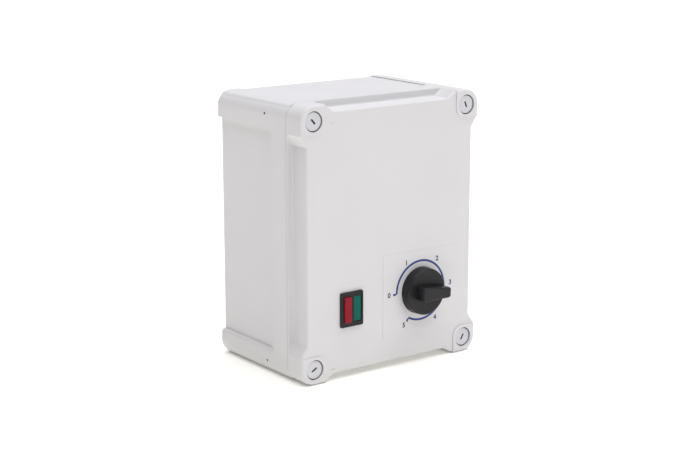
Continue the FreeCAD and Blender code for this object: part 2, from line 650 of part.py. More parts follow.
def core_cups():
    """Two insulating cups that wrap the core, one from each end."""
    middle = "(core_front + core_back) / 2"
    cups = []
    for tag, end, way in (("front", "core_front", -1), ("back", "core_back", 1)):
        face = "%s + %d * insulation" % (end, way)
        seam = "%s + %d * 0.05" % (middle, way)
        cups.append(turned("cup_" + tag, [
            ("core_inner - insulation", seam), ("core_inner - insulation", face),
            ("core_outer + insulation", face), ("core_outer + insulation", seam),
            ("core_outer + 0.02", seam), ("core_outer + 0.02", "%s + %d * 0.02" % (end, way)),
            ("core_inner - 0.02", "%s + %d * 0.02" % (end, way)), ("core_inner - 0.02", seam)]))
    node("core_cups", solids("cup_pair", cups), "dial_x", "dial_z")


def winding():
    """The copper winding as one sleeve round the insulated core, rounded where the wire bends."""
    outer = turned("winding_outer", ring("coil_inner", "coil_outer", "coil_front", "coil_back"))
    soft = rounded("winding_soft", outer, 2.5, lambda e: isinstance(e.Curve, Part.Circle))
    inner = turned("winding_inner", ring("core_inner - insulation - 0.05", "core_outer + insulation + 0.05",
                                         "core_front - insulation - 0.05", "core_back + insulation + 0.05"))
    node("winding", cut("winding_sleeve", soft, [inner]), "dial_x", "dial_z")


def polar(radius, degrees):
    """Formulas for a point on a circle, in X and Z."""
    angle = math.radians(degrees)
    return "(%s) * %.6f" % (radius, math.cos(angle)), "(%s) * %.6f" % (radius, math.sin(angle))


CLAMP_ANGLES = (90, 210, 330)


def variac_base():
    """The cast plate behind the coil, with a hub for the rear bush and three feet."""
    disc = turned("base_disc", [("shaft_radius + 2", 100), ("hub_radius", 100),
                                ("hub_radius", "coil_back + 1"), ("coil_outer - 2", "coil_back + 1"),
                                ("coil_outer - 2", "base_back"), ("shaft_radius + 2", "base_back")])
    feet = []
    for index, angle in enumerate(CLAMP_ANGLES):
        x, z = polar("coil_outer - 9", angle - 60)
        feet.append(rod("coil_foot_%d" % index, 5, x, z, ("base_back - 1", "plate_front")))
    holes = []
    for index, angle in enumerate(CLAMP_ANGLES):
        x, z = polar("clamp_circle", angle)
        holes.append(rod("base_clamp_hole_%d" % index, 2.1, x, z, ("coil_back - 1", "base_back + 1")))
    node("variac_base", cut("base_drilled", joined("base_casting", [disc] + feet), holes), "dial_x", "dial_z")


def rear_insulator():
    """The fibre washer between the coil and its base."""
    node("rear_insulator", turned("rear_washer", ring("hub_radius + 7.5", "coil_outer - 2", "coil_back",
                                                      "coil_back + 1")), "dial_x", "dial_z")


def front_spider():
    """The bakelite disc that clamps the coil from the front and carries the front bush."""
    disc = turned("spider_disc", [("shaft_radius + 2", "spider_front"), ("spider_radius", "spider_front"),
                                  ("spider_radius", "coil_front"), ("coil_inner - 0.5", "coil_front"),
                                  ("coil_inner - 0.5", "coil_front + 3"),
                                  ("shaft_radius + 2", "coil_front + 3")])
    holes = []
    for index, angle in enumerate(CLAMP_ANGLES):
        x, z = polar("clamp_circle", angle)
        holes.append(rod("spider_hole_%d" % index, 2.1, x, z, ("spider_front - 1", "coil_front + 4")))
    node("front_spider", cut("spider_drilled", disc, holes), "dial_x", "dial_z")


def clamp_bolts():
    """Three bolts that pull the spider and the base together through the coil's middle."""
    bolts = []
    for index, angle in enumerate(CLAMP_ANGLES):
        x, z = polar("clamp_circle", angle)
        head = rod("bolt_head_%d" % index, 3.5, x, z, ("spider_front - 2.6", "spider_front"))
        stem = rod("bolt_stem_%d" % index, 2, x, z, ("spider_front - 1", "base_back + 3"))
        nut = rod("bolt_nut_%d" % index, 3.6, x, z, ("base_back", "base_back + 2.8"))
        bolts.append(joined("bolt_%d" % index, [head, stem, nut]))
    node("clamp_bolts", solids("bolt_set", bolts), "dial_x", "dial_z")


def shaft_bushes():
    """The two bronze bushes that the shaft turns in."""
    bore, flange, barrel = "shaft_radius + shaft_clear", "shaft_radius + 4", "shaft_radius + 2"
    front = turned("bush_front", [(bore, "spider_front - 1.5"), (flange, "spider_front - 1.5"),
                                  (flange, "spider_front"), (barrel, "spider_front"),
                                  (barrel, "coil_front + 3"), (bore, "coil_front + 3")])
    rear = turned("bush_rear", ring(bore, barrel, 100, "base_back"))
    node("shaft_bushes", solids("bush_pair", [front, rear]), "dial_x", "dial_z")


def end_stop():
    """The buffer that the brush arm meets at each end of its travel."""
    x, z = polar("stop_circle", DIMENSIONS["stop_angle"])
    node("end_stop", rod("stop_post", "stop_radius", x, z, ("arm_front - 2", "spider_front")),
         "dial_x + " + x, "dial_z + " + z, "arm_front - 2")


def brush_arm():
    """The aluminium arm with a clamped hub, which carries the brush round the coil."""
    hub = rod("arm_hub", 9, 0, 0, ("arm_front - 7", "arm_front + arm_thick"))
    blade = block("arm_blade", ("0", "arm_reach"), ("arm_front", "arm_front + arm_thick"),
                  ("-arm_half", "arm_half"))
    reach = size_of("arm_reach")
    blade = rounded("arm_rounded", blade, 4, lambda e: along_y(e) and e.CenterOfMass.x > reach - 0.1)
    tail = rod("arm_tail", 14, -4, 0, ("arm_front", "arm_front + arm_thick"))
    whole = joined("arm_whole", [hub, blade, tail])
    tools = [rod("arm_bore", "shaft_radius + shaft_clear", 0, 0,
                 ("arm_front - 8", "arm_front + arm_thick + 1")),
             block("arm_brush_slot", ("brush_circle - 2.1", "brush_circle + 2.1"),
                   ("arm_front - 1", "arm_front + arm_thick + 1"), ("-3.1", "3.1")),
             cross_rod("arm_screw_hole", 2.05, (0, 0, -1), (0, "arm_front - 3.5", 0), 12)]
    node("brush_arm", cut("arm_done", whole, tools), "dial_x", "dial_z")


def brush_holder():
    """The brass box that guides the brush."""
    shell = block("holder_block", ("brush_circle - 3.4", "brush_circle + 3.4"),
                  ("arm_front + arm_thick", "coil_front - 2"), ("-4.6", "4.6"))
    slot = block("holder_slot", ("brush_circle - 2.1", "brush_circle + 2.1"),
                 ("arm_front + arm_thick - 1", "coil_front - 1"), ("-3.1", "3.1"))
    node("brush_holder", cut("holder_done", shell, [slot]), "dial_x", "dial_z")


def carbon_brush():
    """The graphite brush, just clear of the bared turns of the coil."""
    node("carbon_brush", block("brush_block", ("brush_circle - 2", "brush_circle + 2"),
                               ("arm_front + 1", "coil_front - brush_gap"), ("-3", "3")),
         "dial_x + brush_circle - 2", "dial_z - 3", "arm_front + 1")


def brush_spring():
    """The flat spring that presses the brush on the coil."""
    strip = block("leaf_strip", ("brush_circle - 18", "brush_circle + 3"), ("arm_front - 0.5", "arm_front"),
                  ("-2.5", "2.5"))
    tongue = block("leaf_tongue", ("brush_circle - 1.5", "brush_circle + 1.5"),
                   ("arm_front - 0.25", "arm_front + 1"), ("-2", "2"))
    node("brush_spring", joined("leaf_spring", [strip, tongue]), "dial_x", "dial_z")


# ---------------------------------------------------------------- plate, terminals and fuse

def mounting_plate():
    """The zinc-plated plate that carries the coil and the terminal rail."""
    slab = rounded_frame("plate_slab", "plate_x", "plate_z", 6, ("plate_front", "plate_front + plate_thick"))
    holes = [rod("plate_hole_" + tag, 2.1, "%d * post_x" % sx, "%d * post_z" % sz,
                 ("plate_front - 1", "plate_front + plate_thick + 1")) for tag, sx, sz in corners()]
    node("mounting_plate", cut("plate_drilled", slab, holes))


def pan_screw(name, x, z, seat, length, shank):
    """A cross-head screw whose head stands in front of its seat."""
    head = rod(name + "_head", "2 * %s" % shank, x, z, ("%s - 2.2" % seat, seat))
    stem = rod(name + "_stem", shank, x, z, ("%s - 1" % seat, "%s + %s" % (seat, length)))
    return joined(name, [head, stem])


def plate_screws():
    """Four screws that hold the mounting plate to its posts."""
    node("plate_screws", solids("plate_screw_set", [
        pan_screw("plate_screw_" + tag, "%d * post_x" % sx, "%d * post_z" % sz, "plate_front", 6.5, 1.55)
        for tag, sx, sz in corners()]))


def terminal_rail():
    """The top-hat rail across the upper half of the plate."""
    half, foot, top = "rail_height / 2", "plate_front", "plate_front - rail_depth"
    brim = block("rail_hat", ("-rail_half", "rail_half"), (top, top + " + 1"),
                 ("rail_z - %s" % half, "rail_z + %s" % half))
    low_web = block("rail_low_web", ("-rail_half", "rail_half"), (top, foot),
                    ("rail_z - 12.5", "rail_z - 11.5"))
    high_web = block("rail_high_web", ("-rail_half", "rail_half"), (top, foot),
                     ("rail_z + 11.5", "rail_z + 12.5"))
    floor = block("rail_floor", ("-rail_half", "rail_half"), (foot + " - 1", foot),
                  ("rail_z - 12.5", "rail_z + 12.5"))
    middle = block("rail_middle", ("-rail_half - 1", "rail_half + 1"), (top + " - 1", foot + " - 1"),
                   ("rail_z - 11.5", "rail_z + 11.5"))
    node("terminal_rail", cut("rail_done", joined("rail_bars", [brim, low_web, high_web, floor]), [middle]))


def terminal(name, left):
    """One rail terminal: a slim moulding with a wire funnel and a screw hole at each end."""
    top = "plate_front - rail_depth"
    right = "%s + terminal_width - 0.2" % left
    middle = "%s + terminal_width / 2 - 0.1" % left
    body = block(name + "_body", (left, right), ("%s - terminal_depth" % top, top),
                 ("rail_z - terminal_height / 2", "rail_z + terminal_height / 2"))
    tools = []
    for tag, s in (("low", -1), ("high", 1)):
        tools.append(rod("%s_screw_%s" % (name, tag), 1.9, middle, "rail_z + %d * 9" % s,
                         ("%s - terminal_depth - 1" % top, "%s - 14" % top)))
        tools.append(cross_rod("%s_funnel_%s" % (name, tag), 2.1, (0, 0, -s),
                               (middle, "%s - 17" % top, "rail_z + %d * (terminal_height / 2 + 1)" % s), 12))
        tools.append(block("%s_shoulder_%s" % (name, tag), ("%s - 1" % left, "%s + 1" % right),
                           ("%s - terminal_depth - 1" % top, "%s - terminal_depth + 7" % top),
                           ("rail_z + %s" % ("15" if s > 0 else "(-terminal_height / 2 - 1)"),
                            "rail_z + %s" % ("terminal_height / 2 + 1" if s > 0 else "-15"))))
    return cut(name, body, tools)


def terminal_blocks():
    """Six rail terminals side by side, and the earth terminal at their right."""
    blocks = [terminal("terminal_%d" % index, "-40 + %d * terminal_width" % index) for index in range(6)]
    node("terminal_blocks", solids("terminal_set", blocks))
    node("earth_terminal", terminal("earth_block", "-40 + 6 * terminal_width"))


def rail_end_stops():
    """The two clamps that keep the terminals in place on the rail."""
    top = "plate_front - rail_depth"
    stops = []
    for tag, left in (("left", "-40 - 9.2"), ("right", "-40 + 7 * terminal_width + 0.2")):
        body = block("rail_stop_body_" + tag, (left, left + " + 9"), (top + " - 16", top),
                     ("rail_z - 19", "rail_z + 19"))
        hole = rod("rail_stop_hole_" + tag, 2.2, left + " + 4.5", "rail_z", (top + " - 17", top + " - 4"))
        stops.append(cut("rail_stop_" + tag, body, [hole]))
    node("rail_end_stops", solids("rail_stop_pair", stops))


def fuse_holder():
    """The open fuse holder on the rail: a moulded foot with two spring clips."""
    top = "plate_front - rail_depth"
    foot = block("fuse_foot", ("22", "38"), (top + " - 10", top), ("rail_z - 19", "rail_z + 19"))
    node("fuse_holder", foot, "22", "rail_z - 19", top + " - 10")
    clips = [block("clip_" + tag, ("26", "34"), (top + " - 17", top + " - 10"),
                   ("rail_z + %d * 8.5 - 2.2" % s, "rail_z + %d * 8.5 + 2.2" % s))
             for tag, s in (("low", -1), ("high", 1))]
    barrel = cross_rod("clip_bore", 2.62, (0, 0, 1), ("30", top + " - 15", "rail_z - 14"), 28)
    mouth = block("clip_mouth", ("28.4", "31.6"), (top + " - 18", top + " - 15"),
                  ("rail_z - 14", "rail_z + 14"))
    node("fuse_clips", cut("clips_done", joined("clip_pair", clips), [barrel, mouth]))
    glass = cross_rod("fuse_glass", 2.3, (0, 0, 1), ("30", top + " - 15", "rail_z - 9"), 18)
    caps = [cross_rod("fuse_cap_low", 2.6, (0, 0, 1), ("30", top + " - 15", "rail_z - 10.5"), 5),
            cross_rod("fuse_cap_high", 2.6, (0, 0, 1), ("30", top + " - 15", "rail_z + 5.5"), 5)]
    node("fuse", joined("fuse_whole", [glass] + caps))


def earth_stud():
    """The earthing stud on the plate, with its two nuts."""
    stem = rod("stud_stem", 2, "-64", "5", ("plate_front - 14", "plate_front"))
    low = rod("stud_nut_low", 3.8, "-64", "5", ("plate_front - 3.2", "plate_front"))
    high = rod("stud_nut_high", 3.8, "-64", "5", ("plate_front - 8", "plate_front - 4.8"))
    node("earth_stud", joined("stud_whole", [stem, low, high]))


# ---------------------------------------------------------------- wiring

def wire(name, points, bend, radius):
    """A round wire along straight runs joined by tangent arcs, which turn square corners."""
    spots = [Vector(*[size_of(v) for v in point]) for point in points]
    edges = []
    start = spots[0]
    for before, corner, after in zip(spots, spots[1:], spots[2:]):
        come, leave = (corner - before).normalize(), (after - corner).normalize()
        arrive, depart = corner - come * bend, corner + leave * bend
        edges.append(Part.LineSegment(start, arrive).toShape())
        middle = corner + (leave - come) * bend * (1 - math.sqrt(0.5))
        edges.append(Part.Arc(arrive, middle, depart).toShape())
        start = depart
    edges.append(Part.LineSegment(start, spots[-1]).toShape())
    path = Part.Wire(edges)
    profile = Part.Wire(Part.makeCircle(radius, spots[0], (spots[1] - spots[0])))
    item = doc.addObject("Part::Feature", name)
    item.Shape = path.makePipeShell([profile], True, True)
    return item


def terminal_mouth(index):
    """The X of a terminal's middle, the Y of its funnels and the Z just below its lower end."""
    return ("-40 + (%d + 0.5) * terminal_width - 0.1" % index, "plate_front - rail_depth - 17",
            "rail_z - terminal_height / 2 - 0.3")


def supply_wires():
    """Four wires from the switch's blades up to the terminals."""
    wires = []
    for index, (col, row) in enumerate(((-1, -1), (-1, 1), (1, -1), (1, 1))):
        x, z = "switch_x + %d * blade_x" % col, "switch_z + %d * blade_z" % row
        end_x, end_y, end_z = terminal_mouth(index)
        depth, level = "%d" % (52 + 5 * index), "%d" % (-14 - 6 * index)
        wires.append(wire("supply_wire_%d" % index, [
            (x, "switch_end + 8.2", z), (x, depth, z), (x, depth, level), (end_x, depth, level),
            (end_x, depth, "9"), (end_x, end_y, "9"), (end_x, end_y, end_z)], 2.4, 0.9))
    node("supply_wires", solids("supply_wire_set", wires))


def coil_wires():
    """Two wires from the top of the winding up to the terminals."""
    wires = []
    for index, offset in ((4, -19.9), (5, -11.9)):
        x = "dial_x + %s" % offset
        drop = size_of("coil_outer") - math.sqrt(size_of("coil_outer") ** 2 - offset ** 2)
        end_x, end_y, end_z = terminal_mouth(index)
        level = "%d" % (9 * index - 36)
        wires.append(wire("coil_wire_%d" % index, [
            (x, "90", "dial_z + coil_outer - %.4f + 0.3" % drop), (x, "90", level), (end_x, "90", level),
            (end_x, end_y, level), (end_x, end_y, end_z)], 2.4, 0.9))
    node("coil_wires", solids("coil_wire_set", wires))


# ---------------------------------------------------------------- build and write

def check_document():
    """Stop if any object failed to recompute or any piece is empty or invalid."""
    doc.recompute()
    for item in doc.Objects:
        if {"Invalid", "Error"} & set(item.State):
            raise RuntimeError("%s failed: %s" % (item.Name, item.State))
    for item in nodes:
        if item.Shape.isNull() or not item.Shape.isValid() or not item.Shape.Solids:
            raise RuntimeError(item.Label + " has no valid solid")


def build():
    enclosure_base()
    lid()
    lid_gasket()
    shaft_seal()
    cable_grommets()
    for tag, sx, sz in corners():
        cover_screw(tag, sx, sz)
    screw_receivers()
    switch_housing()
    switch_back()
    switch_terminals()
    release_coil()
    push_button("red", "red_proud")
    push_button("green", "green_proud")
    button_spring("red")
    button_spring("green")
    dial_label()
    dial_knob()
    shaft()
    shaft_clip()
    grub_screws()
    coil_core()
    core_cups()
    winding()
    variac_base()
    rear_insulator()
    front_spider()
    clamp_bolts()
    shaft_bushes()
    end_stop()
    brush_arm()
    brush_holder()
    carbon_brush()
    brush_spring()
    mounting_plate()
    plate_screws()
    terminal_rail()
    terminal_blocks()
    rail_end_stops()
    fuse_holder()
    earth_stud()
    supply_wires()
    coil_wires()


build()
check_document()
os.makedirs("parts", exist_ok=True)
for item in nodes:
    item.Shape.exportStep("parts/%s.step" % item.Label)
    print("%-20s %9.0f mm3  %d solids" % (item.Label, item.Shape.Volume, len(item.Shape.Solids)))
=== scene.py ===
import math
import bmesh
import bpy
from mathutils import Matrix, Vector


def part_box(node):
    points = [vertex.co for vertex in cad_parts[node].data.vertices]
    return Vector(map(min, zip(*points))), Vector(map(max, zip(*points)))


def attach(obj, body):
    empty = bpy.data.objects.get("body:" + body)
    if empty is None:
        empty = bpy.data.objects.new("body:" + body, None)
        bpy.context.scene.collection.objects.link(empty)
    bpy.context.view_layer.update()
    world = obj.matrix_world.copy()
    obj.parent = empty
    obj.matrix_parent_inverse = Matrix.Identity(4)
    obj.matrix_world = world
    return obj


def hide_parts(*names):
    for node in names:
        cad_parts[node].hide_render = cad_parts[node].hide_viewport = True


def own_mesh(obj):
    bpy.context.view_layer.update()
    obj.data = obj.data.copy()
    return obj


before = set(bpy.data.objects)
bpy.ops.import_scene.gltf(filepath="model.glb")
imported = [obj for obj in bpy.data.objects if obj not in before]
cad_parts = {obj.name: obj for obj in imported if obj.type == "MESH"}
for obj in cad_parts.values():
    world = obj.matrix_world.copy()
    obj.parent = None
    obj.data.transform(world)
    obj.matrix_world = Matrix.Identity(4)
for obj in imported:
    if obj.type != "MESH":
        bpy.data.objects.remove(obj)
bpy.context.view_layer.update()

MM = 0.001

# The label's back lies on the lid's front face, and the shaft's axis meets the label's
# front at the middle of the dial.
label_low, label_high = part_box("dial_label")
shaft_low, shaft_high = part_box("shaft")
FACE_Y = label_high.y
DIAL = Vector(((shaft_low.x + shaft_high.x) / 2, label_low.y, (shaft_low.z + shaft_high.z) / 2))


# ---------------------------------------------------------------- material helpers

# Noise scales of moulded plastic, in features per metre.
TONE_SCALE, WEAR_SCALE, GLOSS_SCALE, WAVE_SCALE = 14, 220, 60, 25
WAVE_DEPTH, WAVE_STRENGTH = 0.2 * MM, 0.15
# How far in from an edge the wear reaches, and across how wide a gap the painted shade darkens.
EDGE_RADIUS = 0.6 * MM
GAP_SHADE_REACH = 4 * MM
# The rounded normal's lean, as a cosine, where wear begins and where it is full.
WEAR_BEGINS, WEAR_FULL = 0.98, 0.75
# The open share of a spot's surroundings where painted gap shade begins and where it is full.
GAP_SHADE_BEGINS, GAP_SHADE_FULL = 0.55, 0.2
METAL_TONE_SCALE = 30
METAL_MARK_DEPTH = 0.01 * MM
# The noise values that carry a whole change: a wide span drifts and a narrow one makes patches.
WIDE, NARROW = (0.3, 0.7), (0.35, 0.65)
# The mix node's sockets for its factor, its two colours and its result.
MIX_FACTOR, MIX_FIRST, MIX_SECOND, MIX_RESULT = 0, 6, 7, 2


def set_range(node, low, high, to_low, to_high):
    """Set what a map-range node takes in and what it gives out."""
    keys = ("From Min", "From Max", "To Min", "To Max")
    for key, number in zip(keys, (low, high, to_low, to_high)):
        node.inputs[key].default_value = number


class Nodes:
    """A material's node tree with short calls for adding and joining nodes."""

    def __init__(self, name):
        self.material = bpy.data.materials.new(name)
        self.material.use_nodes = True
        self.tree = self.material.node_tree
        self.shader = self.tree.nodes["Principled BSDF"]
        self.place = self.tree.nodes.new("ShaderNodeTexCoord").outputs["Object"]

    def add(self, kind, **values):
        node = self.tree.nodes.new(kind)
        for key, value in values.items():
            if key in node.inputs:
                node.inputs[key].default_value = value
            else:
                setattr(node, key, value)
        return node

    def link(self, output, target):
        self.tree.links.new(output, target)

    def noise(self, scale, detail=3.0, roughness=0.5, stretch=None):
        """Noise over the object's own metres; scale is in features per metre."""
        node = self.add("ShaderNodeTexNoise", Scale=scale, Detail=detail, Roughness=roughness)
        place = self.place
        if stretch:
            mapping = self.add("ShaderNodeMapping", Scale=stretch)
            self.link(place, mapping.inputs["Vector"])
            place = mapping.outputs["Vector"]
        self.link(place, node.inputs["Vector"])
        return node.outputs["Fac"]

    def spread(self, value, low, high, to_low, to_high):
        """Stretch low..high over to_low..to_high and hold the ends."""
        node = self.add("ShaderNodeMapRange")
        set_range(node, low, high, to_low, to_high)
        self.link(value, node.inputs["Value"])
        return node.outputs["Result"]

    def mix(self, factor, first, second):
        """Blend two colours, each a tuple or another node's output."""
        node = self.add("ShaderNodeMix", data_type="RGBA")
        self.link(factor, node.inputs[MIX_FACTOR])
        for place, value in ((MIX_FIRST, first), (MIX_SECOND, second)):
            if isinstance(value, tuple):
                node.inputs[place].default_value = (*value, 1)
            else:
                self.link(value, node.inputs[place])
        return node.outputs[MIX_RESULT]

    def two_tone(self, colour, shade, scale, detail, span):
        """A surface that drifts between two close tones."""
        return self.mix(self.spread(self.noise(scale, detail), *span, 0, 1), colour, shade)

    def bump(self, height, distance, strength=1.0, normal=None):
        """The normal that a height gives, over another bump's normal if there is one."""
        node = self.add("ShaderNodeBump", Strength=strength, Distance=distance)
        self.link(height, node.inputs["Height"])
        if normal:
            self.link(normal, node.inputs["Normal"])
        return node.outputs["Normal"]

    def edges(self, radius):
        """1 on sharp edges and 0 on flats: how far the rounded normal leans from the true one."""
        bevel = self.add("ShaderNodeBevel", Radius=radius, samples=4)
        geometry = self.add("ShaderNodeNewGeometry")
        dot = self.add("ShaderNodeVectorMath", operation="DOT_PRODUCT")
        self.link(bevel.outputs["Normal"], dot.inputs[0])
        self.link(geometry.outputs["Normal"], dot.inputs[1])
        return self.spread(dot.outputs["Value"], WEAR_BEGINS, WEAR_FULL, 0.0, 1.0)

    def crevices(self, reach):
        """1 deep in slots and narrow gaps and 0 in the open: where the painted shade goes."""
        openness = self.add("ShaderNodeAmbientOcclusion", Distance=reach, samples=8)
        return self.spread(openness.outputs["AO"], GAP_SHADE_BEGINS, GAP_SHADE_FULL, 0.0, 1.0)


def moulded(name, colour, shade, roughness, grain=2200, depth=0.02 * MM, edge=None, sheen=0.5,
            painted_gap_shade=None):
    """Moulded plastic: fine texture, slow changes of tone, rubbed edges, painted shade in gaps.
    """
    m = Nodes(name)
    tone = m.two_tone(colour, shade, TONE_SCALE, 4, NARROW)
    if edge:
        worn = m.spread(m.noise(WEAR_SCALE, 3), 0.42, 0.62, 0.15, 1)
        mask = m.add("ShaderNodeMath", operation="MULTIPLY")
        m.link(m.edges(EDGE_RADIUS), mask.inputs[0])
        m.link(worn, mask.inputs[1])
        tone = m.mix(mask.outputs[0], tone, edge)
    # Painted shade: slots and narrow gaps are darkened towards the given colour.
    if painted_gap_shade:
        tone = m.mix(m.crevices(GAP_SHADE_REACH), tone, painted_gap_shade)
    m.link(tone, m.shader.inputs["Base Color"])
    gloss = m.spread(m.noise(GLOSS_SCALE, 4), *WIDE, roughness - 0.05, roughness + 0.06)
    m.link(gloss, m.shader.inputs["Roughness"])
    fine = m.bump(m.noise(grain, 2, 0.6), depth)
    waves = m.bump(m.noise(WAVE_SCALE, 2), WAVE_DEPTH, WAVE_STRENGTH, fine)
    m.link(waves, m.shader.inputs["Normal"])
    m.shader.inputs["Specular IOR Level"].default_value = sheen
    return m


def metal(name, colour, shade, roughness, stretch=(1, 1, 1), grain=900):
    """Bare metal with fine directional marks."""
    m = Nodes(name)
    m.shader.inputs["Metallic"].default_value = 1.0
    tone = m.two_tone(colour, shade, METAL_TONE_SCALE, 4, WIDE)
    m.link(tone, m.shader.inputs["Base Color"])
    marks = m.noise(grain, 3, 0.5, stretch)
    gloss = m.spread(marks, *WIDE, roughness - 0.06, roughness + 0.1)
    m.link(gloss, m.shader.inputs["Roughness"])
    relief = m.bump(m.noise(grain, 2, 0.5, stretch), METAL_MARK_DEPTH)
    m.link(relief, m.shader.inputs["Normal"])
    return m


def paint(finish, *names):
    """Give CAD nodes a material in every slot they have."""
    for name in names:
        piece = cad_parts[name]
        if not piece.material_slots:
            piece.data.materials.append(finish.material)
        for slot in piece.material_slots:
            slot.material = finish.material


# ---------------------------------------------------------------- materials

INK_TONE_SCALE, INK_GLOSS_SCALE, INK_GRAIN = 900, 1500, 2500
INK_GRAIN_DEPTH = 0.004 * MM
FLOOR_TONE_SCALE = 3
FLOOR_ROUGHNESS = 0.9
FLOOR_GLOW, FLOOR_GLOW_COLOUR = 0.21, (1, 0.98, 0.92, 1)


def case_plastic():
    # The last colour is painted shade for the case's narrow gaps and recesses.
    return moulded("case_plastic", (0.744, 0.743, 0.745), (0.727, 0.727, 0.732), 0.48,
                   edge=(0.79, 0.79, 0.79), sheen=0.4, painted_gap_shade=(0.22, 0.22, 0.225))


def white_screw():
    # The last colour is painted shade for the screw slots and the gap round the cap.
    return moulded("white_screw", (0.705, 0.712, 0.738), (0.665, 0.675, 0.705), 0.42, grain=1500,
                   edge=(0.77, 0.78, 0.80), sheen=0.4, painted_gap_shade=(0.04, 0.04, 0.045))


def black_plastic(name, roughness):
    return moulded(name, (0.0125, 0.0125, 0.0135), (0.018, 0.018, 0.020), roughness, grain=2600,
                   depth=0.025 * MM, edge=(0.045, 0.045, 0.048), sheen=0.26)


def button_plastic(name, colour, shade):
    return moulded(name, colour, shade, 0.34, grain=1800, depth=0.01 * MM, sheen=0.12)


def label_film():
    return moulded("label_film", (0.738, 0.738, 0.741), (0.723, 0.723, 0.728), 0.38, grain=3000,
                   depth=0.008 * MM)


def scale_ink(name, colour, shade):
    """Printing ink, a little uneven."""
    m = Nodes(name)
    tone = m.two_tone(colour, shade, INK_TONE_SCALE, 3, NARROW)
    m.link(tone, m.shader.inputs["Base Color"])
    gloss = m.spread(m.noise(INK_GLOSS_SCALE, 2), *WIDE, 0.35, 0.5)
    m.link(gloss, m.shader.inputs["Roughness"])
    m.link(m.bump(m.noise(INK_GRAIN, 2), INK_GRAIN_DEPTH), m.shader.inputs["Normal"])
    return m


def floor_white():
    """A matt white floor that glows a little, so that it stays as bright as its surround."""
    m = Nodes("floor_white")
    tone = m.two_tone((0.945, 0.935, 0.900), (0.960, 0.950, 0.915), FLOOR_TONE_SCALE, 3, WIDE)
    m.link(tone, m.shader.inputs["Base Color"])
    m.shader.inputs["Roughness"].default_value = FLOOR_ROUGHNESS
    m.shader.inputs["Emission Color"].default_value = FLOOR_GLOW_COLOUR
    m.shader.inputs["Emission Strength"].default_value = FLOOR_GLOW
    return m


# ---------------------------------------------------------------- printed scale

LINE_RADIUS, LINE_WIDTH = 27.9 * MM, 2.0 * MM
LINE_STEPS = 150
TICK_END = 32.0 * MM
INK = 0.05 * MM
SCALE_START, SCALE_END = 180.0, -120.0
# Each numeral's place across and up from the dial's middle, in millimetres.
NUMERAL_PLACES = ((-36.6, 0.4), (-16.7, 28.0), (19.4, 27.4),
                  (35.6, 2.0), (17.6, -28.8), (-19.3, -30.4))
NUMERAL_HEIGHT = 4.6 * MM
NUMERAL_BOLD = 0.21 * MM
# The font's size for a numeral of height 1.
FONT_SIZE = 1.38


def on_dial(radius, degrees, lift=0.0):
    """The point at a radius and an angle about the shaft, lifted off the label."""
    angle = math.radians(degrees)
    across, up = radius * math.cos(angle), radius * math.sin(angle)
    return Vector((DIAL.x + across, DIAL.y - lift, DIAL.z + up))


def new_piece(name, mesh, finish, body, place=None):
    """An added object that rides on a body, with the mesh's own place unless one is given."""
    piece = bpy.data.objects.new(name, mesh)
    bpy.context.scene.collection.objects.link(piece)
    if place:
        piece.matrix_world = place
        bpy.context.view_layer.update()
    mesh.materials.append(finish.material)
    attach(piece, body)
    return piece


def ink_line(finish):
    """The scale's arc with an outward tick at each end, as one printed line."""
    mesh = bmesh.new()
    inner, outer = LINE_RADIUS - LINE_WIDTH / 2, LINE_RADIUS + LINE_WIDTH / 2
    section = ((inner, 0), (inner, INK), (outer, INK), (outer, 0))
    rings = []
    for i in range(LINE_STEPS + 1):
        angle = SCALE_START + (SCALE_END - SCALE_START) * i / LINE_STEPS
        rings.append([mesh.verts.new(on_dial(radius, angle, lift)) for radius, lift in section])
    for first, second in zip(rings, rings[1:]):
        for k in range(4):
            mesh.faces.new((first[k], first[(k + 1) % 4], second[(k + 1) % 4], second[k]))
    mesh.faces.new(rings[0])
    mesh.faces.new(rings[-1][::-1])
    # Each tick is a bar from just inside the arc's outer edge.
    root = outer - INK
    for angle in (SCALE_START, SCALE_END):
        out = on_dial(1, angle) - on_dial(0, angle)
        side = Vector((-out.z, 0, out.x)) * (LINE_WIDTH / 2)
        corners = []
        for lift in (0, INK):
            for radius, sign in ((root, -1), (root, 1), (TICK_END, 1), (TICK_END, -1)):
                corners.append(mesh.verts.new(on_dial(radius, angle, lift) + side * sign))
        low, high = corners[:4], corners[4:]
        mesh.faces.new(low)
        mesh.faces.new(high[::-1])
        for k in range(4):
            mesh.faces.new((low[k], high[k], high[(k + 1) % 4], low[(k + 1) % 4]))
    bmesh.ops.recalc_face_normals(mesh, faces=mesh.faces)
    data = bpy.data.meshes.new("scale_line")
    mesh.to_mesh(data)
    new_piece("scale_line", data, finish, "enclosure")


def numerals(finish):
    """The six generic numbers round the dial."""
    for value, (across, up) in enumerate(NUMERAL_PLACES):
        curve = bpy.data.curves.new("numeral", "FONT")
        curve.body = str(value)
        curve.size = NUMERAL_HEIGHT * FONT_SIZE
        curve.align_x, curve.align_y = "CENTER", "CENTER"
        curve.extrude = INK / 2
        curve.offset = NUMERAL_BOLD
        text = bpy.data.objects.new("numeral_text", curve)
        bpy.context.scene.collection.objects.link(text)
        bpy.context.view_layer.update()
        mesh = bpy.data.meshes.new_from_object(text)
        bpy.data.objects.remove(text)
        centre = Vector((DIAL.x + across * MM, DIAL.y - INK / 2, DIAL.z + up * MM))
        spans = []
        for axis in range(3):
            values = [v.co[axis] for v in mesh.vertices]
            spans.append((min(values), max(values)))
        middle = Vector([(low + high) / 2 for low, high in spans])
        for v in mesh.vertices:
            local = v.co - middle
            v.co = Vector((centre.x + local.x, centre.y - local.z, centre.z + local.y))
        new_piece("scale_numeral_%d" % value, mesh, finish, "enclosure")


# ---------------------------------------------------------------- return springs


